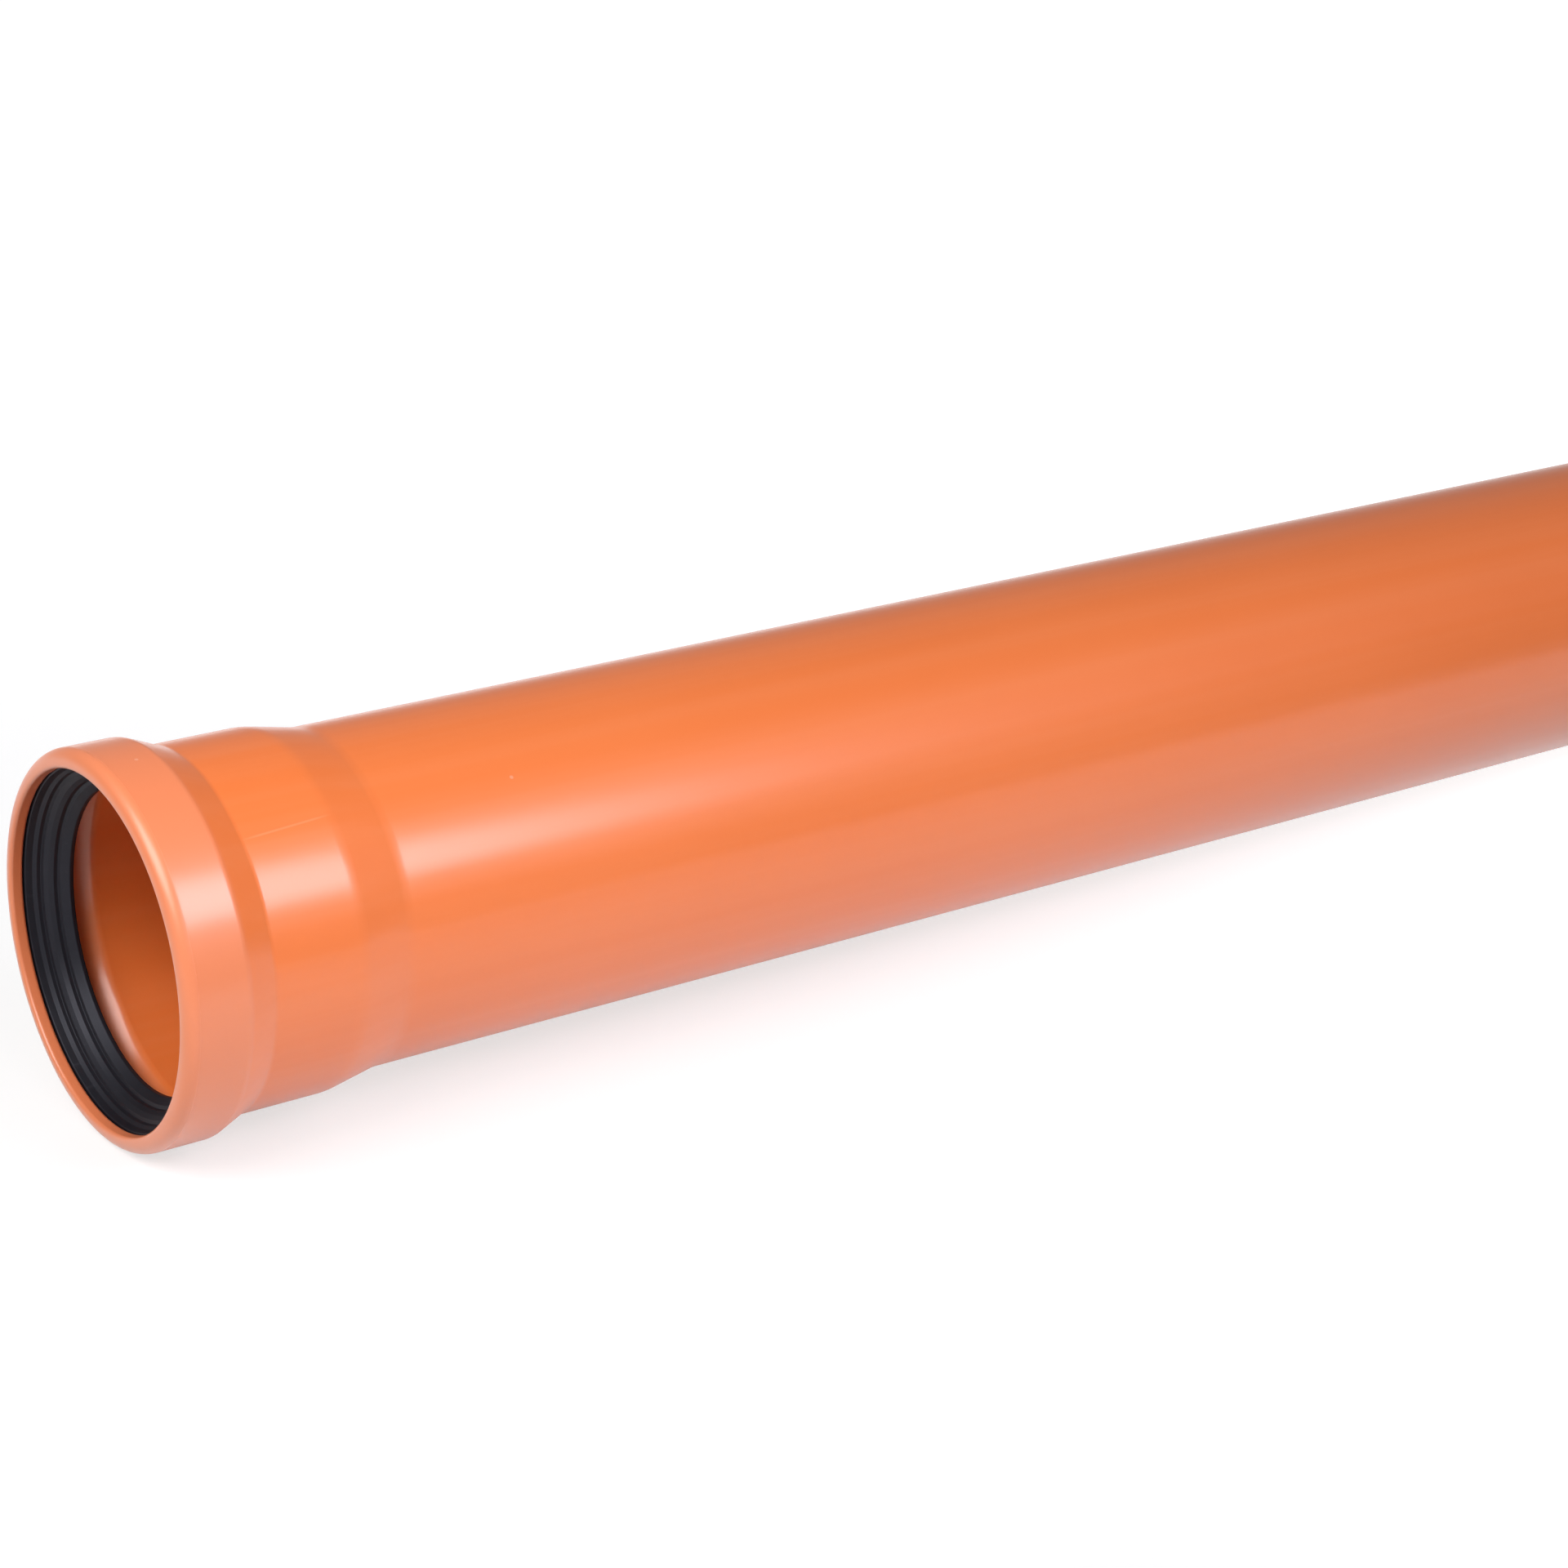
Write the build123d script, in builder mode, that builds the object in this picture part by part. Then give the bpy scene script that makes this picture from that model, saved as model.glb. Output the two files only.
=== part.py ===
from build123d import *
from math import atan2, cos, degrees, radians, sin, tan
import os

# Sewer pipe of unplasticised PVC, 110 mm outside diameter, with a formed socket
# and a rubber ring seal. It lies on a level floor on its bead and the end of its
# spigot. +X runs from the socket mouth to the spigot, +Z is up, and the origin is
# on the floor under the middle of the pipe.

# Tube
pipe_radius = 55.0
wall = 3.2
laying_length = 1000.0
chamfer_length = 6.0
chamfer_angle = 15.0

# Socket, measured along the pipe from the mouth
spigot_clearance = 0.4
socket_depth = 62.0
shoulder_length = 18.0
shoulder_round = 20.0

# Groove for the seal, and the bead that it raises outside
mouth_clearance = 2.2
mouth_thickness = 4.5
mouth_inner_round = 1.2
mouth_flat = 0.4
groove_depth = 4.6
groove_length = 15.3
groove_round = 1.0
flank_length = 7.5
flank_outer_length = 11.0
flank_round = 4.0
flank_inner_round = 5.0

# Seal
seal_clearance = 0.25
seal_squeeze = 6.4
seal_front_height = 2.75
seal_throat_length = 2.35
seal_throat_drop = 0.5
seal_land_length = 1.5
seal_lip_setback = 1.85
seal_tip_thickness = 1.4
seal_band_thickness = 2.4
seal_gap_length = 9.5
seal_edge_round = 0.5
rib_groove_radius = 0.5
rib_groove_first = 3.1
rib_groove_spacing = 4.1

# Radii that follow
bore_radius = pipe_radius - wall
socket_radius = pipe_radius + spigot_clearance
groove_radius = socket_radius + groove_depth
mouth_radius = pipe_radius + mouth_clearance
socket_outside = socket_radius + wall
bead_outside = groove_radius + wall
mouth_outer_round = bead_outside - mouth_radius - mouth_inner_round - mouth_flat

# Stations along the pipe that follow. A bent wall keeps its thickness, so each
# outer corner lies a little further along than the inner one. Behind the bead the
# outside runs out more gently, and the wall is a little thicker there.
groove_end = mouth_thickness + groove_length
flank_end = groove_end + flank_length
shoulder_end = socket_depth + shoulder_length
pipe_end = socket_depth + laying_length
flank_shift = wall * tan(atan2(groove_depth, flank_length) / 2)
bead_back = groove_end + flank_shift
shoulder_shift = wall * tan(atan2(socket_radius - bore_radius, shoulder_length) / 2)
chamfer_start = pipe_end - chamfer_length
end_radius = pipe_radius - chamfer_length * tan(radians(chamfer_angle))

# Resting pose: the back of the bead and the start of the chamfer touch the floor
tilt = atan2(bead_outside - pipe_radius, chamfer_start - bead_back)
mouth_height = bead_back * sin(tilt) + bead_outside * cos(tilt)
mouth_low_reach = (bead_outside - mouth_outer_round) * sin(tilt)
end_reach = pipe_end * cos(tilt) + end_radius * sin(tilt)
mouth_x = (mouth_low_reach - end_reach) / 2

# The section is drawn with x along the pipe and y as the radius
section = Plane(
    origin=(mouth_x, 0, mouth_height),
    x_dir=(cos(tilt), 0, -sin(tilt)),
    z_dir=(0, -1, 0),
)
pipe_axis = Axis(section.origin, section.x_dir)

# Each corner of an outline is its station, its radius and its rounding
pipe_outline = [
    (0, mouth_radius, mouth_inner_round),
    (0, bead_outside, mouth_outer_round),
    (bead_back, bead_outside, flank_round),
    (bead_back + flank_outer_length, socket_outside, flank_round),
    (socket_depth + shoulder_shift, socket_outside, shoulder_round),
    (shoulder_end + shoulder_shift, pipe_radius, shoulder_round),
    (chamfer_start, pipe_radius, 0),
    (pipe_end, end_radius, 0),
    (pipe_end, bore_radius, 0),
    (shoulder_end, bore_radius, shoulder_round),
    (socket_depth, socket_radius, shoulder_round),
    (flank_end, socket_radius, flank_inner_round),
    (groove_end, groove_radius, groove_round),
    (mouth_thickness, groove_radius, groove_round),
    (mouth_thickness, mouth_radius, mouth_inner_round),
]

# The seal's band fills the groove. Behind a throat the lip leans in as a cone to a
# short land, which squeezes a spigot, and a V-shaped gap behind it lets it give way.
seal_front = mouth_thickness + seal_clearance
seal_back = groove_end - seal_clearance
seal_outside = groove_radius - seal_clearance
seal_front_radius = seal_outside - seal_front_height
throat_end = seal_front + seal_throat_length
throat_radius = seal_front_radius - seal_throat_drop
seal_bore_radius = pipe_radius - seal_squeeze
lip_end = seal_back - seal_lip_setback
land_start = lip_end - seal_land_length
band_radius = seal_outside - seal_band_thickness
gap_start = seal_back - seal_gap_length

seal_outline = [
    (seal_front, seal_front_radius, seal_edge_round),
    (seal_front, seal_outside, groove_round),
    (seal_back, seal_outside, groove_round),
    (seal_back, band_radius, seal_edge_round),
    (gap_start, band_radius, seal_edge_round),
    (lip_end, seal_bore_radius + seal_tip_thickness, seal_edge_round),
    (lip_end, seal_bore_radius, seal_edge_round),
    (land_start, seal_bore_radius, 0),
    (throat_end, throat_radius, seal_edge_round),
]

# Grooves between the ribs of the cone, counted back from the land, as many as fit
cone_length = land_start - throat_end
cone_slope = (throat_radius - seal_bore_radius) / cone_length
more_grooves = int((cone_length - rib_groove_first - rib_groove_radius) / rib_groove_spacing)
rib_offsets = [rib_groove_first + rib_groove_spacing * step for step in range(more_grooves + 1)]
rib_grooves = [
    (land_start - offset, seal_bore_radius + cone_slope * offset) for offset in rib_offsets
]

# Pipe: tube, shoulder, socket, bead and mouth in one formed wall
with BuildPart() as pipe:
    with BuildSketch(section) as pipe_section:
        with BuildLine():
            FilletPolyline(
                [(station, radius) for station, radius, rounding in pipe_outline],
                radius=[rounding for station, radius, rounding in pipe_outline],
                close=True,
            )
        make_face()
    revolve(axis=pipe_axis)
pipe.part.label = "pipe"

# Seal ring: a band in the groove and a ribbed lip that leans into the pipe
with BuildPart() as seal_ring:
    with BuildSketch(section) as seal_section:
        with BuildLine():
            FilletPolyline(
                [(station, radius) for station, radius, rounding in seal_outline],
                radius=[rounding for station, radius, rounding in seal_outline],
                close=True,
            )
        make_face()
        with Locations(rib_grooves):
            Circle(rib_groove_radius, mode=Mode.SUBTRACT)
    revolve(axis=pipe_axis)
seal_ring.part.label = "seal_ring"

os.makedirs("parts", exist_ok=True)
export_step(pipe.part, "parts/pipe.step")
export_step(seal_ring.part, "parts/seal_ring.step")

print("overall length", round(pipe_end, 2), "tilt", round(degrees(tilt), 3))
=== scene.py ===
from math import atan2, cos, degrees, pi, radians, sin, tan

import bmesh
import bpy
from mathutils import Matrix, Vector


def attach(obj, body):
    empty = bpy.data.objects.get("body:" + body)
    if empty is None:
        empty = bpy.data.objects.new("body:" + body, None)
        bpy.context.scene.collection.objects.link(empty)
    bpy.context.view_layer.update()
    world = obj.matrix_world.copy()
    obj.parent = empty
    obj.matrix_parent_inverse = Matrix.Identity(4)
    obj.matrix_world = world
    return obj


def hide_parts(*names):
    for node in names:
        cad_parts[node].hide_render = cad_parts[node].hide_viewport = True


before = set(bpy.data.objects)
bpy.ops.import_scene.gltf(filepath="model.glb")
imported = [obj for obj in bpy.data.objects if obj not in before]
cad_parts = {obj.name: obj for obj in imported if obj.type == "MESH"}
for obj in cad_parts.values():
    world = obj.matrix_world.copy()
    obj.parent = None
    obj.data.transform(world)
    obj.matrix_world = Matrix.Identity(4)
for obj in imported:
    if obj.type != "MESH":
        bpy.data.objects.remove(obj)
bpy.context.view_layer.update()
millimetre = 0.001

# Sizes of the formed tube in millimetres: stations run along its axis from the mouth
tubeSizes = {
    "radius": 55.0,
    "wall": 3.2,
    "layingLength": 1000.0,
    "chamferLength": 6.0,
    "chamferAngle": 15.0,
    "spigotClearance": 0.4,
    "socketDepth": 62.0,
    "shoulderLength": 18.0,
    "shoulderRound": 20.0,
    "mouthClearance": 2.2,
    "mouthThickness": 4.5,
    "mouthInnerRound": 1.2,
    "mouthFlat": 0.4,
    "grooveDepth": 4.6,
    "grooveLength": 15.3,
    "grooveRound": 1.0,
    "flankLength": 7.5,
    "flankOuterLength": 11.0,
    "flankRound": 4.0,
    "flankInnerRound": 5.0,
    "cutRound": 0.3,
    "turns": 288,
    "sharpAngle": 32,
}

# The radii, stations and resting tilt that follow from them
t = tubeSizes
boreRadius = t["radius"] - t["wall"]
socketRadius = t["radius"] + t["spigotClearance"]
grooveRadius = socketRadius + t["grooveDepth"]
mouthRadius = t["radius"] + t["mouthClearance"]
socketOutside = socketRadius + t["wall"]
beadOutside = grooveRadius + t["wall"]
mouthOuterRound = beadOutside - mouthRadius - t["mouthInnerRound"] - t["mouthFlat"]
grooveEnd = t["mouthThickness"] + t["grooveLength"]
flankEnd = grooveEnd + t["flankLength"]
shoulderEnd = t["socketDepth"] + t["shoulderLength"]
pipeEnd = t["socketDepth"] + t["layingLength"]
flankShift = t["wall"] * tan(atan2(t["grooveDepth"], t["flankLength"]) / 2)
shoulderShift = t["wall"] * tan(atan2(socketRadius - boreRadius, t["shoulderLength"]) / 2)
chamferStart = pipeEnd - t["chamferLength"]
endRadius = t["radius"] - t["chamferLength"] * tan(radians(t["chamferAngle"]))
beadBack = grooveEnd + flankShift
restTilt = atan2(beadOutside - t["radius"], chamferStart - beadBack)
mouthHeight = beadBack * sin(restTilt) + beadOutside * cos(restTilt)
mouthX = ((beadOutside - mouthOuterRound) * sin(restTilt)
          - pipeEnd * cos(restTilt) - endRadius * sin(restTilt)) / 2
mouthCentre = Vector((mouthX, 0, mouthHeight)) * millimetre
pipeFrame = Matrix.Translation(mouthCentre) @ Matrix.Rotation(restTilt, 4, "Y")


def meshObject(name, mesh):
    data = bpy.data.meshes.new(name)
    mesh.to_mesh(data)
    mesh.free()
    made = bpy.data.objects.new(name, data)
    bpy.context.scene.collection.objects.link(made)
    return made


def spunPiece(name, outline, turns, sharpAngle):
    # outline: (station, radius, rounding, segments) for each corner, in millimetres
    mesh = bmesh.new()
    corners = [mesh.verts.new((station, 0, radius))
               for station, radius, rounding, segments in outline]
    mesh.faces.new(corners)
    for corner, (station, radius, rounding, segments) in zip(corners, outline):
        if rounding:
            one, two = [edge.other_vert(corner).co - corner.co for edge in corner.link_edges]
            reach = rounding / tan(one.angle(two) / 2)
            bmesh.ops.bevel(mesh, geom=[corner], offset=reach, offset_type="OFFSET",
                            affect="VERTICES", segments=segments, profile=0.5, material=-1)
    bmesh.ops.delete(mesh, geom=mesh.faces[:], context="FACES_ONLY")
    bmesh.ops.spin(mesh, geom=mesh.verts[:] + mesh.edges[:], cent=(0, 0, 0), axis=(1, 0, 0),
                   angle=2 * pi, steps=turns, use_merge=True, dvec=(0, 0, 0))
    bmesh.ops.remove_doubles(mesh, verts=mesh.verts[:], dist=0.001)
    bmesh.ops.recalc_face_normals(mesh, faces=mesh.faces[:])
    bmesh.ops.transform(mesh, matrix=pipeFrame @ Matrix.Scale(millimetre, 4),
                        verts=mesh.verts[:])
    for face in mesh.faces:
        face.smooth = True
    for edge in mesh.edges:
        edge.smooth = edge.calc_face_angle(0) < radians(sharpAngle)
    piece = meshObject(name, mesh)
    weighted = piece.modifiers.new("weightedNormals", "WEIGHTED_NORMAL")
    weighted.keep_sharp = True
    return piece


# Tube with its socket: one wall, from the mouth round the outside and back inside
tubeOutline = [
    (0, mouthRadius, t["mouthInnerRound"], 5),
    (0, beadOutside, mouthOuterRound, 10),
    (beadBack, beadOutside, t["flankRound"], 6),
    (beadBack + t["flankOuterLength"], socketOutside, t["flankRound"], 6),
    (t["socketDepth"] + shoulderShift, socketOutside, t["shoulderRound"], 6),
    (shoulderEnd + shoulderShift, t["radius"], t["shoulderRound"], 6),
    (chamferStart, t["radius"], t["cutRound"], 2),
    (pipeEnd, endRadius, t["cutRound"], 3),
    (pipeEnd, boreRadius, t["cutRound"], 3),
    (shoulderEnd, boreRadius, t["shoulderRound"], 6),
    (t["socketDepth"], socketRadius, t["shoulderRound"], 6),
    (flankEnd, socketRadius, t["flankInnerRound"], 6),
    (grooveEnd, grooveRadius, t["grooveRound"], 4),
    (t["mouthThickness"], grooveRadius, t["grooveRound"], 4),
    (t["mouthThickness"], mouthRadius, t["mouthInnerRound"], 5),
]
tube = spunPiece("formedPipe", tubeOutline, t["turns"], t["sharpAngle"])
print("formed pipe: tilt", round(degrees(restTilt), 3), "faces", len(tube.data.polygons))

# Rubber ring: a band in the groove and a ribbed lip that leans into the pipe
sealSizes = {
    "clearance": 0.25,
    "squeeze": 6.4,
    "frontHeight": 2.75,
    "throatLength": 2.35,
    "throatDrop": 0.5,
    "landLength": 1.5,
    "landRound": 0.8,
    "lipSetback": 1.85,
    "tipThickness": 1.4,
    "bandThickness": 2.4,
    "gapLength": 9.5,
    "edgeRound": 0.5,
    "ribGrooveAt": (3.1, 7.2),
    "ribGrooveHalf": 0.8,
    "ribGrooveDepth": 0.7,
    "ribGrooveRound": 0.3,
    "ribRise": 0.22,
    "ribRound": 1.2,
    "turns": 256,
    "sharpAngle": 60,
}
s = sealSizes
sealFront = t["mouthThickness"] + s["clearance"]
sealBack = grooveEnd - s["clearance"]
sealOutside = grooveRadius - s["clearance"]
sealFrontRadius = sealOutside - s["frontHeight"]
throatEnd = sealFront + s["throatLength"]
throatRadius = sealFrontRadius - s["throatDrop"]
lipRadius = t["radius"] - s["squeeze"]
lipEnd = sealBack - s["lipSetback"]
landStart = lipEnd - s["landLength"]
bandRadius = sealOutside - s["bandThickness"]
gapStart = sealBack - s["gapLength"]
coneSlope = (throatRadius - lipRadius) / (landStart - throatEnd)
coneLean = atan2(coneSlope, 1)


def onCone(offset, rise):
    # a point of the lip's cone, counted back from its land, raised off the rubber
    return (landStart - offset - rise * sin(coneLean),
            lipRadius + coneSlope * offset - rise * cos(coneLean))


sealOutline = [
    (sealFront, sealFrontRadius, s["edgeRound"], 3),
    (sealFront, sealOutside, t["grooveRound"], 4),
    (sealBack, sealOutside, t["grooveRound"], 4),
    (sealBack, bandRadius, s["edgeRound"], 3),
    (gapStart, bandRadius, s["edgeRound"], 3),
    (lipEnd, lipRadius + s["tipThickness"], s["edgeRound"], 3),
    (lipEnd, lipRadius, s["edgeRound"], 3),
    (landStart, lipRadius, s["landRound"], 3),
]
# the cone's grooves from the land outwards, with a raised rib between two of them
lastOffset = None
for offset in s["ribGrooveAt"]:
    if lastOffset is not None:
        ribTop = onCone((lastOffset + offset) / 2, s["ribRise"])
        sealOutline.append((*ribTop, s["ribRound"], 4))
    for step, rise in ((-s["ribGrooveHalf"], 0.0), (0.0, -s["ribGrooveDepth"]),
                       (s["ribGrooveHalf"], 0.0)):
        sealOutline.append((*onCone(offset + step, rise), s["ribGrooveRound"], 2))
    lastOffset = offset
sealOutline.append((throatEnd, throatRadius, s["edgeRound"], 3))
seal = spunPiece("rubberRing", sealOutline, s["turns"], s["sharpAngle"])
print("rubber ring: faces", len(seal.data.polygons))


# Nodes
def addNode(tree, kind, values=None, **settings):
    made = tree.nodes.new("ShaderNode" + kind)
    for name, value in settings.items():
        setattr(made, name, value)
    for name, value in (values or {}).items():
        if isinstance(value, bpy.types.NodeSocket):
            tree.links.new(value, made.inputs[name])
        else:
            made.inputs[name].default_value = value
    return made


def newGroup(name, inputs, result):
    group = bpy.data.node_groups.new(name, "ShaderNodeTree")
    for label, kind, value in inputs:
        socket = group.interface.new_socket(label, in_out="INPUT",
                                            socket_type="NodeSocket" + kind)
        if value is not None:
            socket.default_value = value
    group.interface.new_socket(result, in_out="OUTPUT", socket_type="NodeSocketFloat")
    given = group.nodes.new("NodeGroupInput").outputs
    out = group.nodes.new("NodeGroupOutput").inputs[result]
    return group, given, out


def useGroup(tree, group, values):
    return addNode(tree, "Group", values, node_tree=group).outputs[0]


def calc(tree, operation, one, two, clamp=False):
    return addNode(tree, "Math", {0: one, 1: two}, operation=operation,
                   use_clamp=clamp).outputs[0]


def vectorCalc(tree, operation, values, result="Vector"):
    return addNode(tree, "VectorMath", values, operation=operation).outputs[result]


def ramp(tree, value, low, high, outLow=0.0, outHigh=1.0):
    return addNode(tree, "MapRange", {"Value": value, "From Min": low, "From Max": high,
                                      "To Min": outLow, "To Max": outHigh}, clamp=True,
                   interpolation_type="SMOOTHSTEP").outputs["Result"]


def tint(tree, factor, one, two):
    # inputs 0, 6 and 7 are the factor and the two colours
    return addNode(tree, "Mix", {0: factor, 6: one, 7: two}, data_type="RGBA").outputs[2]


def grey(value):
    return (value, value, value, 1)


# Cloudy tone: slow changes of tone through the compound
cloudyTone, given, out = newGroup(
    "cloudyTone",
    [("Place", "Vector", None), ("Scale", "Float", 8.0), ("Contrast", "Float", 0.5)],
    "Tone")
cloud = addNode(cloudyTone, "TexNoise", {"Vector": given["Place"], "Scale": given["Scale"],
                                         "Detail": 4.0, "Roughness": 0.55})
spread = calc(cloudyTone, "MULTIPLY",
              calc(cloudyTone, "SUBTRACT", cloud.outputs["Fac"], 0.5), given["Contrast"])
cloudyTone.links.new(calc(cloudyTone, "ADD", spread, 0.5, clamp=True), out)

# Drawn lines: fine lines along the axis, left by the die and by pulling
drawnLines, given, out = newGroup(
    "drawnLines",
    [("Place", "Vector", None), ("Across", "Float", 400.0), ("Along", "Float", 1.5)],
    "Lines")
stretch = addNode(drawnLines, "CombineXYZ", {"X": given["Along"], "Y": given["Across"],
                                             "Z": given["Across"]}).outputs[0]
squeezed = vectorCalc(drawnLines, "MULTIPLY", {0: given["Place"], 1: stretch})
lines = addNode(drawnLines, "TexNoise", {"Vector": squeezed, "Scale": 1.0, "Detail": 3.0,
                                         "Roughness": 0.6})
drawnLines.links.new(lines.outputs["Fac"], out)

# Dust specks: a few small round grains of dust that sit far apart
dustSpecks, given, out = newGroup(
    "dustSpecks",
    [("Place", "Vector", None), ("Spacing", "Float", 0.02), ("Size", "Float", 0.0006),
     ("Share", "Float", 0.3)],
    "Specks")
perMetre = calc(dustSpecks, "DIVIDE", 1.0, given["Spacing"])
cells = addNode(dustSpecks, "TexVoronoi", {"Vector": given["Place"], "Scale": perMetre})
grain = calc(dustSpecks, "LESS_THAN", cells.outputs["Distance"],
             calc(dustSpecks, "MULTIPLY", given["Size"], perMetre))
lot = addNode(dustSpecks, "SeparateColor", {"Color": cells.outputs["Color"]}).outputs[0]
chosen = calc(dustSpecks, "LESS_THAN", lot, given["Share"])
dustSpecks.links.new(calc(dustSpecks, "MULTIPLY", grain, chosen), out)

# Hair scratches: very fine bent lines in patches, as handling leaves them
hairScratches, given, out = newGroup(
    "hairScratches",
    [("Place", "Vector", None), ("Fineness", "Float", 900.0), ("Patches", "Float", 14.0),
     ("Amount", "Float", 0.4)],
    "Scratches")
bent = addNode(hairScratches, "TexNoise", {"Vector": given["Place"], "Scale": 12.0,
                                           "Detail": 1.0})
bend = vectorCalc(hairScratches, "SCALE", {0: bent.outputs["Color"], "Scale": 0.01})
moved = vectorCalc(hairScratches, "ADD", {0: given["Place"], 1: bend})
turned = addNode(hairScratches, "Mapping", {"Vector": moved, "Rotation": (0.3, 0.12, 0.2),
                                            "Scale": (0.02, 1.0, 1.0)})
threads = addNode(hairScratches, "TexNoise", {"Vector": turned.outputs[0], "Detail": 1.0,
                                              "Scale": given["Fineness"],
                                              "Roughness": 0.5})
patches = addNode(hairScratches, "TexNoise", {"Vector": given["Place"], "Detail": 2.0,
                                              "Scale": given["Patches"]})
marks = calc(hairScratches, "MULTIPLY",
             ramp(hairScratches, threads.outputs["Fac"], 0.62, 0.72),
             ramp(hairScratches, patches.outputs["Fac"], 0.45, 0.7))
hairScratches.links.new(calc(hairScratches, "MULTIPLY", marks, given["Amount"]), out)

# Fine line: one faint pale line of a given start, direction and length, used as a painted
# highlight
fineLine, given, out = newGroup(
    "fineLine",
    [("Place", "Vector", None), ("Start", "Vector", None), ("Direction", "Vector", None),
     ("Length", "Float", 0.03), ("Half Width", "Float", 0.0003)],
    "Line")
fromStart = vectorCalc(fineLine, "SUBTRACT", {0: given["Place"], 1: given["Start"]})
cross = vectorCalc(fineLine, "CROSS_PRODUCT", {0: fromStart, 1: given["Direction"]})
offLine = vectorCalc(fineLine, "LENGTH", {0: cross}, "Value")
along = vectorCalc(fineLine, "DOT_PRODUCT", {0: fromStart, 1: given["Direction"]}, "Value")
share = calc(fineLine, "DIVIDE", along, given["Length"])
ends = calc(fineLine, "MULTIPLY", ramp(fineLine, share, 0.0, 0.25),
            ramp(fineLine, share, 0.75, 1.0, 1.0, 0.0))
widths = calc(fineLine, "DIVIDE", offLine, given["Half Width"])
core = ramp(fineLine, widths, 0.3, 1.0, 1.0, 0.0)
fineLine.links.new(calc(fineLine, "MULTIPLY", ends, core), out)


def newMaterial(name):
    material = bpy.data.materials.new(name)
    material.use_nodes = True
    tree = material.node_tree
    tree.nodes.clear()
    shader = addNode(tree, "BsdfPrincipled")
    addNode(tree, "OutputMaterial", {"Surface": shader.outputs[0]})
    return material, tree, shader


def pipePlace(tree):
    # the place in the pipe's own frame: X is the station in metres, Y and Z cross the axis
    return addNode(tree, "Mapping", {"Vector": addNode(tree, "TexCoord").outputs["Object"],
                                     "Location": mouthCentre, "Rotation": (0, restTilt, 0)},
                   vector_type="TEXTURE").outputs[0]


def stationFade(tree, station, middle, before, after, outLow=0.0, outHigh=1.0):
    # a change along the pipe round a station, all in millimetres
    return ramp(tree, station, (middle - before) * millimetre, (middle + after) * millimetre,
                outLow, outHigh)


# Glossy orange-brown plastic of the tube: a hazy body under a clear coat. The tints and
# roughenings say how far each mask changes the colour and the coat's roughness.
plasticLook = {
    "orange": (0.82, 0.186, 0.035, 1),
    "deepOrange": (0.79, 0.171, 0.028, 1),
    "stretchedOrange": (0.79, 0.222, 0.086, 1),
    # pale orange for die lines, scratches and the sawn face, and for the painted highlight
    # line
    "rubbedAndHighlightOrange": (0.90, 0.33, 0.15, 1),
    "dust": (0.92, 0.66, 0.52, 1),
    "roughness": 0.24,
    "haze": 0.52,
    "index": 1.50,
    "tone": {"Scale": 9.0, "Contrast": 1.6},
    "toneRoughening": 0.02,
    "dieLines": {"Across": 420.0, "Along": 1.2},
    "dieLineHeight": 0.5,
    "broadLines": {"Across": 90.0, "Along": 0.8},
    "broadLineRamp": (0.35, 0.75),
    "broadLineTint": 0.10,
    "hairlines": {"Fineness": 900.0, "Patches": 14.0, "Amount": 0.12},
    "hairlineTint": 0.10,
    "hairlineRoughening": 0.12,
    "specks": {"Spacing": 0.018, "Size": 0.0004, "Share": 0.01},
    "speckTint": 0.7,
    "speckRoughening": 0.4,
    "speckHeight": 3.0,
    # the pale line on the socket's upper front is a painted highlight: a lamp edge's
    # reflection painted into the colour
    "paintedHighlightLine": {"Start": (0.030, -0.0405, 0.0424), "Direction": (0.998, 0.0476, 0.0438),
                   "Length": 0.034, "Half Width": 0.0005},
    "paintedHighlightTint": 0.36,
    "grainPlaces": ((0.01393, -0.00961, 0.06246), (0.128, -0.03608, 0.04151)),
    "grainRamp": (0.0004, 0.0008),
    "grainTint": 0.26,
    "mouthRamp": (0.003, 0.0052),
    "mouthRoughening": 0.08,
    "chamferShare": 0.6,
    "sawnTint": 0.45,
    "sawnRoughening": 0.28,
    "bump": {"Strength": 0.25, "Distance": 0.00003},
}
look = plasticLook
plastic, tree, shader = newMaterial("pipePlastic")
place = pipePlace(tree)
station = addNode(tree, "SeparateXYZ", {0: place}).outputs[0]
tone = useGroup(tree, cloudyTone, {"Place": place, **look["tone"]})
dieLines = useGroup(tree, drawnLines, {"Place": place, **look["dieLines"]})
broadLines = useGroup(tree, drawnLines, {"Place": place, **look["broadLines"]})
hairlines = useGroup(tree, hairScratches, {"Place": place, **look["hairlines"]})
specks = useGroup(tree, dustSpecks, {"Place": place, **look["specks"]})
paintedHighlightLine = useGroup(tree, fineLine, {"Place": place, **look["paintedHighlightLine"]})
grains = 0.0
for grainPlace in look["grainPlaces"]:
    away = vectorCalc(tree, "DISTANCE", {0: place, 1: grainPlace}, "Value")
    grains = calc(tree, "MAXIMUM", ramp(tree, away, *look["grainRamp"], 1.0, 0.0), grains)
mouthEdge = ramp(tree, station, *look["mouthRamp"], 1.0, 0.0)
bead = stationFade(tree, station, beadBack, 0.6, 2.0, 1.0, 0.0)
chamferFace = stationFade(tree, station, chamferStart, 0.1, 0.1)
cutFace = stationFade(tree, station, pipeEnd, 0.35, -0.15)
sawn = calc(tree, "MAXIMUM", cutFace,
            calc(tree, "MULTIPLY", chamferFace, look["chamferShare"]))

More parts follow.
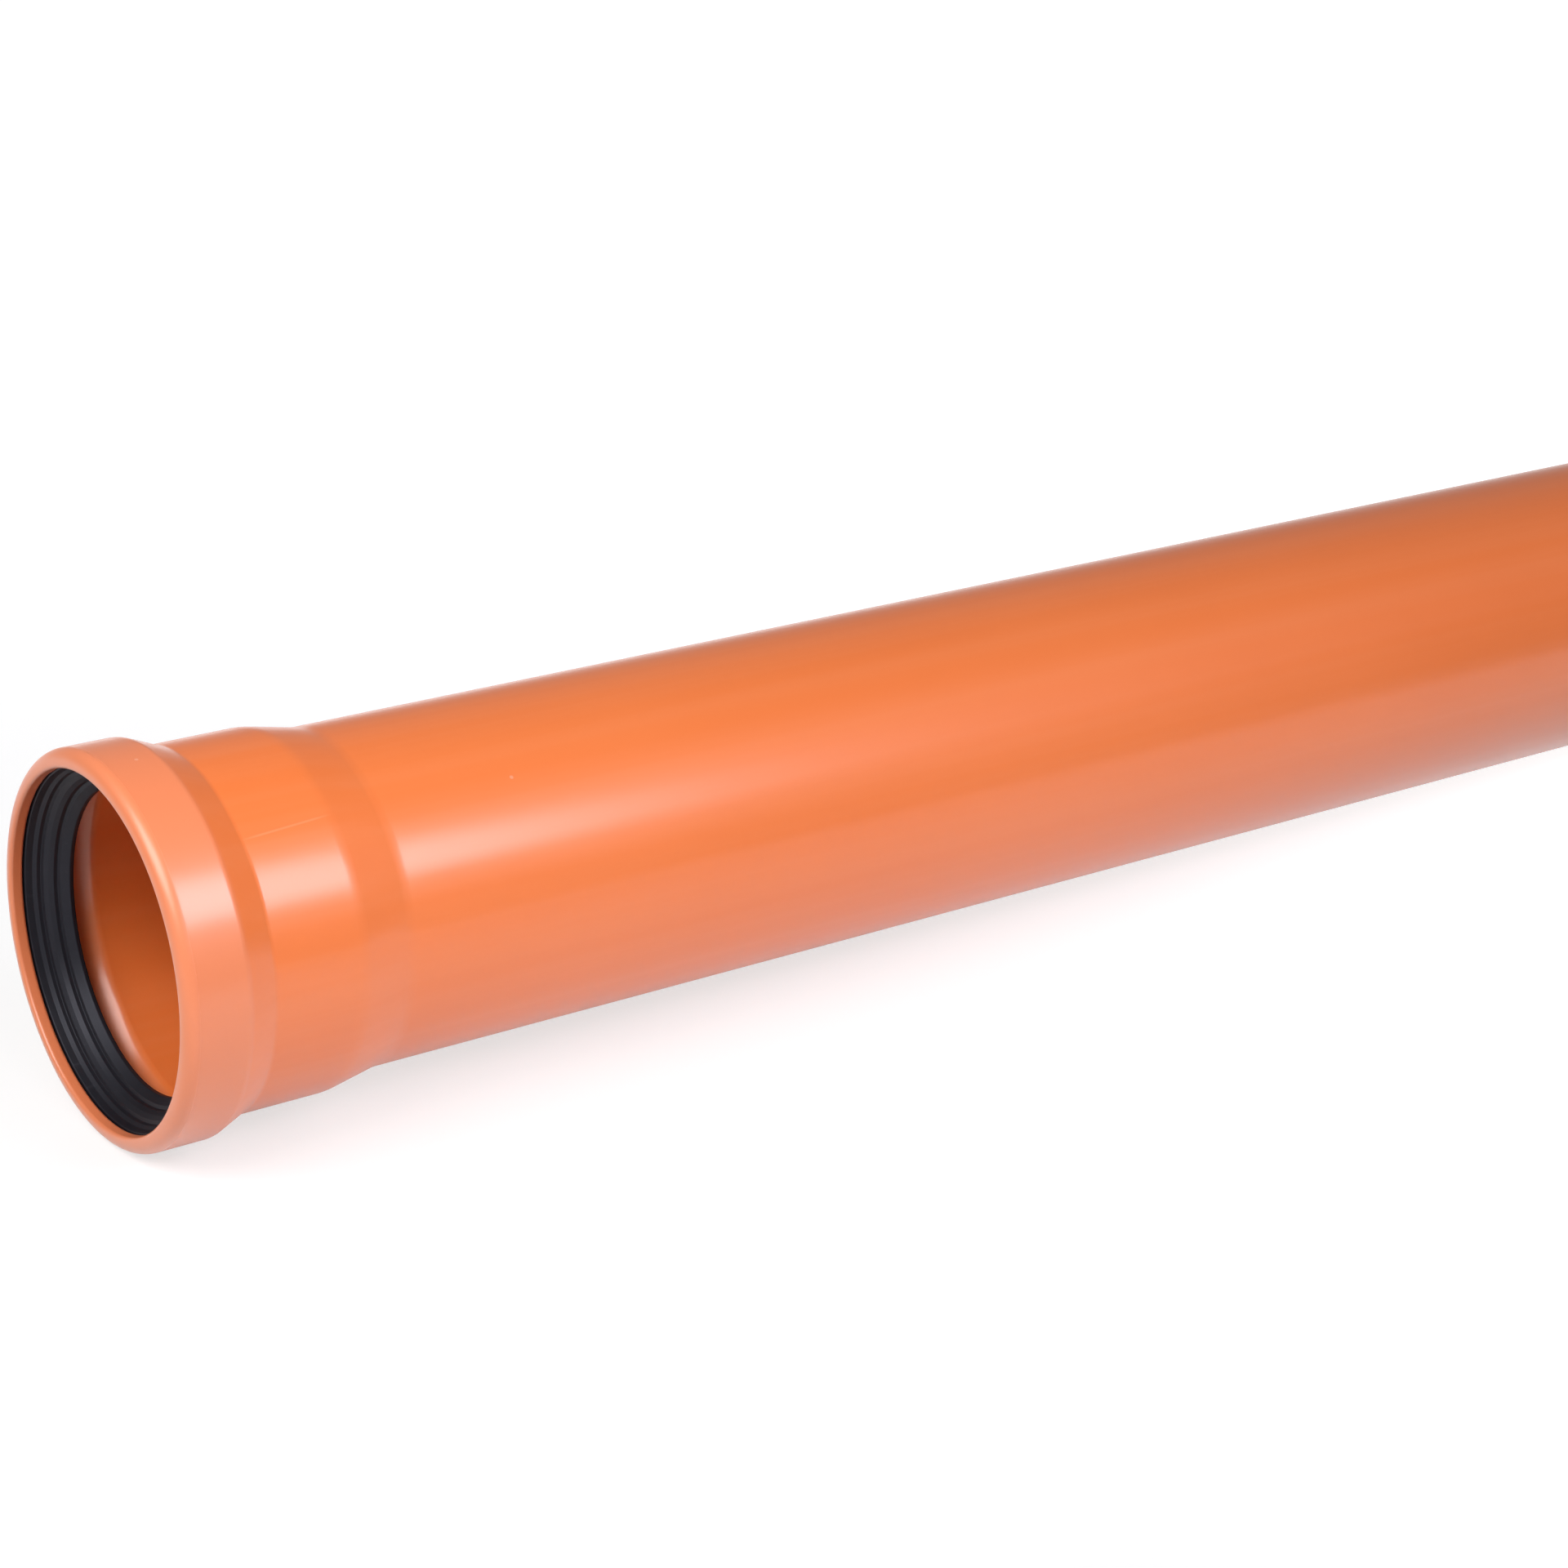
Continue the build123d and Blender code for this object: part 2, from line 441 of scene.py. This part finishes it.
broadTint = ramp(tree, broadLines, *look["broadLineRamp"], 0.0, look["broadLineTint"])
# the hairline scratches are real wear; the fine line added to them is a painted highlight
scratchesAndPaintedHighlight = calc(tree, "ADD", calc(tree, "MULTIPLY", hairlines, look["hairlineTint"]),
              calc(tree, "MULTIPLY", paintedHighlightLine, look["paintedHighlightTint"]))
colour = tint(tree, tone, look["deepOrange"], look["orange"])
colour = tint(tree, broadTint, colour, look["rubbedAndHighlightOrange"])
colour = tint(tree, bead, colour, look["stretchedOrange"])
colour = tint(tree, scratchesAndPaintedHighlight, colour, look["rubbedAndHighlightOrange"])
for mask, strength, paint in ((grains, "grainTint", "dust"),
                              (sawn, "sawnTint", "rubbedAndHighlightOrange"),
                              (specks, "speckTint", "dust")):
    colour = tint(tree, calc(tree, "MULTIPLY", mask, look[strength]), colour, look[paint])
tree.links.new(colour, shader.inputs["Base Color"])

# The coat's roughness stays below 0.27 on the smooth wall: a mask that crossed it there
# would show as a contour, because the denoiser treats smoother and rougher gloss apart
roughness = look["roughness"]
for mask, strength in ((calc(tree, "SUBTRACT", tone, 0.5), "toneRoughening"),
                       (hairlines, "hairlineRoughening"),
                       (mouthEdge, "mouthRoughening"),
                       (sawn, "sawnRoughening"),
                       (specks, "speckRoughening")):
    roughness = calc(tree, "ADD", roughness,
                     calc(tree, "MULTIPLY", mask, look[strength]), clamp=True)
tree.links.new(roughness, shader.inputs["Coat Roughness"])
height = calc(tree, "ADD", calc(tree, "MULTIPLY", dieLines, look["dieLineHeight"]),
              calc(tree, "MULTIPLY", specks, look["speckHeight"]))
bump = addNode(tree, "Bump", {"Height": height, **look["bump"]})
tree.links.new(bump.outputs[0], shader.inputs["Normal"])
tree.links.new(bump.outputs[0], shader.inputs["Coat Normal"])
shader.inputs["Roughness"].default_value = look["haze"]
shader.inputs["Coat Weight"].default_value = 1.0
shader.inputs["IOR"].default_value = look["index"]
shader.inputs["Coat IOR"].default_value = look["index"]

# Black rubber of the ring, with a faint grey bloom in hairlines
rubberLook = {
    "black": (0.0060, 0.0062, 0.0090, 1),
    "grey": (0.0095, 0.0100, 0.0140, 1),
    "bloomGrey": (0.035, 0.036, 0.045, 1),
    "sheen": (0.88, 0.87, 1.0, 1),
    "roughness": 0.42,
    "gloss": 0.31,
    "tone": {"Scale": 40.0, "Contrast": 1.8},
    "toneRoughening": 0.12,
    "bloom": {"Fineness": 700.0, "Patches": 45.0, "Amount": 0.4},
    "bloomRoughening": 0.2,
    "specks": {"Spacing": 0.006, "Size": 0.00025, "Share": 0.15},
    "speckTint": 0.5,
    "grain": {"Scale": 2500.0, "Detail": 2.0},
    "bump": {"Strength": 0.3, "Distance": 0.00004},
}
look = rubberLook
rubber, tree, shader = newMaterial("sealRubber")
place = pipePlace(tree)
tone = useGroup(tree, cloudyTone, {"Place": place, **look["tone"]})
bloom = useGroup(tree, hairScratches, {"Place": place, **look["bloom"]})
specks = useGroup(tree, dustSpecks, {"Place": place, **look["specks"]})
colour = tint(tree, tone, look["black"], look["grey"])
colour = tint(tree, bloom, colour, look["bloomGrey"])
colour = tint(tree, calc(tree, "MULTIPLY", specks, look["speckTint"]), colour,
              look["bloomGrey"])
tree.links.new(colour, shader.inputs["Base Color"])
roughness = look["roughness"]
for mask, strength in ((tone, "toneRoughening"), (bloom, "bloomRoughening")):
    roughness = calc(tree, "ADD", roughness, calc(tree, "MULTIPLY", mask, look[strength]))
tree.links.new(roughness, shader.inputs["Roughness"])
grain = addNode(tree, "TexNoise", {"Vector": place, **look["grain"]})
bump = addNode(tree, "Bump", {"Height": grain.outputs["Fac"], **look["bump"]})
tree.links.new(bump.outputs[0], shader.inputs["Normal"])
shader.inputs["Specular IOR Level"].default_value = look["gloss"]
shader.inputs["Specular Tint"].default_value = look["sheen"]

for piece, material, node, slot in ((tube, plastic, "pipe", "pipe_plastic"),
                                    (seal, rubber, "seal_ring", "seal_rubber")):
    piece.data.materials.append(material)
    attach(piece, "root")
    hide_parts(node)
print("materials and frame done")


# Stage: a white floor, and a dark card in front that the camera doesn't see. It stands
# for the table's front edge: it darkens the pipe's underside and what shines in it.
def stagePlane(name, corners, material):
    mesh = bmesh.new()
    mesh.faces.new([mesh.verts.new(corner) for corner in corners])
    plane = meshObject(name, mesh)
    plane.data.materials.append(material)
    return plane


# Bounce is what lights the pipe from below, seen is what the camera gets, and gleam is
# what shines in the plastic. Each pair fades over the reach round its centre.
stageSizes = {
    "floorHalf": 16.0,
    "floorGrey": 0.80,
    "floorRoughness": 0.9,
    "bounceGrey": (0.72, 0.12),
    "bounceCentre": (-0.30, -0.25, 0.0),
    "bounceReach": (0.15, 0.55),
    "seenGrey": 0.36,
    "seenGlow": (0.66, 1.0),
    "gleam": (0.22, 0.72),
    "glowCentre": (-0.70, 0.0, 0.0),
    "glowReach": (0.32, 1.05),
    "cardAcross": (-2.6, 2.6),
    "cardNear": (-0.36, 0.0015),
    "cardFar": (-1.45, 0.80),
    "cardGrey": 0.20,
}
look = stageSizes
floorWhite, tree, shader = newMaterial("floorWhite")
surface = shader.outputs[0].links[0].to_socket
path = addNode(tree, "LightPath").outputs
spot = addNode(tree, "TexCoord").outputs["Object"]
fromBounce = vectorCalc(tree, "DISTANCE", {0: spot, 1: look["bounceCentre"]}, "Value")
bounced = ramp(tree, fromBounce, *look["bounceReach"], *look["bounceGrey"])
bouncePaint = addNode(tree, "CombineColor", {0: bounced, 1: bounced, 2: bounced})
paint = tint(tree, path["Is Diffuse Ray"], grey(look["floorGrey"]), bouncePaint.outputs[0])
paint = tint(tree, path["Is Camera Ray"], paint, grey(look["seenGrey"]))
tree.links.new(paint, shader.inputs["Base Color"])
shader.inputs["Roughness"].default_value = look["floorRoughness"]
shader.inputs["Specular IOR Level"].default_value = 0.0
fromGlow = vectorCalc(tree, "DISTANCE", {0: spot, 1: look["glowCentre"]}, "Value")
glowParts = [calc(tree, "MULTIPLY", path[ray],
                  ramp(tree, fromGlow, *look["glowReach"], *look[strengths]))
             for ray, strengths in (("Is Camera Ray", "seenGlow"), ("Is Glossy Ray", "gleam"))]
glow = addNode(tree, "Emission", {"Strength": calc(tree, "ADD", *glowParts)})
both = addNode(tree, "AddShader", {0: shader.outputs[0], 1: glow.outputs[0]})
tree.links.new(both.outputs[0], surface)
half = look["floorHalf"]
stagePlane("floor", [(-half, -half, 0), (half, -half, 0), (half, half, 0), (-half, half, 0)],
           floorWhite)

cardDark, tree, shader = newMaterial("cardDark")
shader.inputs["Base Color"].default_value = grey(look["cardGrey"])
shader.inputs["Specular IOR Level"].default_value = 0.0
left, right = look["cardAcross"]
nearY, nearZ = look["cardNear"]
farY, farZ = look["cardFar"]
card = stagePlane("edgeCard", [(left, nearY, nearZ), (right, nearY, nearZ),
                               (right, farY, farZ), (left, farY, farZ)], cardDark)
card.visible_camera = card.visible_shadow = card.visible_transmission = False

# Soft studio light: a grey sky, brighter where the gloss sees it low, white behind
skyLook = {
    "grey": 0.20,
    "greyForShade": 0.12,
    "lowGrey": 0.44,
    "lowRamp": (0.03, 0.25),
    "seenGrey": 1.0,
}
look = skyLook
world = bpy.data.worlds.new("studio")
bpy.context.scene.world = world
world.use_nodes = True
tree = world.node_tree
tree.nodes.clear()
path = addNode(tree, "LightPath").outputs
direction = addNode(tree, "TexCoord").outputs["Generated"]
up = addNode(tree, "SeparateXYZ", {0: direction}).outputs[2]
low = calc(tree, "MULTIPLY", ramp(tree, up, *look["lowRamp"], 1.0, 0.0),
           path["Is Glossy Ray"])
sky = tint(tree, path["Is Diffuse Ray"], grey(look["grey"]), grey(look["greyForShade"]))
sky = tint(tree, low, sky, grey(look["lowGrey"]))
sky = tint(tree, path["Is Camera Ray"], sky, grey(look["seenGrey"]))
background = addNode(tree, "Background", {"Color": sky, "Strength": 1.0})
addNode(tree, "OutputWorld", {"Surface": background.outputs[0]})


def softLamp(name, place, aim, size, radiance, shape="RECTANGLE", inGloss=True,
             colour=(1, 1, 1)):
    data = bpy.data.lights.new(name, "AREA")
    data.shape = shape
    data.size, data.size_y = size
    data.color = colour
    data.energy = radiance * 4 * size[0] * size[1] * (pi / 4 if shape == "ELLIPSE" else 1)
    lamp = bpy.data.objects.new(name, data)
    lamp.location = place
    lamp.rotation_euler = (Vector(aim) - Vector(place)).to_track_quat("-Z", "Y").to_euler()
    lamp.visible_glossy = inGloss
    bpy.context.scene.collection.objects.link(lamp)


# The streak and its halo are the long window in the gloss, and the others fill in. Most
# of them aim at the socket's near side, 0.06 m behind the mouth.
socketPlace = (mouthX * millimetre + 0.06, -0.05, 0.09)
streakColour = (1.0, 0.97, 1.12)
lamps = {
    "streakLamp": {"place": (0.135, -1.19, 0.97), "aim": socketPlace, "size": (0.52, 0.80),
                   "radiance": 6.9, "shape": "ELLIPSE", "colour": streakColour},
    "haloLamp": {"place": (0.10, -1.28, 1.01), "aim": socketPlace, "size": (1.0, 1.9),
                 "radiance": 0.45, "shape": "ELLIPSE", "colour": streakColour},
    "fillLamp": {"place": (-0.50, -0.93, 0.56), "aim": socketPlace, "size": (0.6, 0.4),
                 "radiance": 2.7, "inGloss": False},
    "leftLamp": {"place": (-1.18, -0.24, 0.80), "aim": mouthCentre, "size": (0.85, 0.64),
                 "radiance": 5.2},
    "backLamp": {"place": (0.10, 1.60, 0.45), "aim": (0, 0, 0.06), "size": (1.8, 0.9),
                 "radiance": 1.3, "inGloss": False},
}
for name, values in lamps.items():
    softLamp(name, **values)

# Camera at the photograph's angle
cameraView = {
    "fromMouth": (-0.4297, -0.9534, 0.4255),
    "elevation": 19.89,
    "azimuth": -35.84,
    "lens": 83.97,
    "sensor": 36.0,
    "farClip": 50.0,
}
view = cameraView
data = bpy.data.cameras.new("camera")
data.lens = view["lens"]
data.sensor_width = view["sensor"]
data.clip_end = view["farClip"]
camera = bpy.data.objects.new("camera", data)
camera.location = mouthCentre + Vector(view["fromMouth"])
camera.rotation_euler = (radians(90 - view["elevation"]), 0, radians(view["azimuth"]))
bpy.context.scene.collection.objects.link(camera)
bpy.context.scene.camera = camera
bpy.context.scene.view_settings.view_transform = "Standard"
print("stage, lamps and camera done")
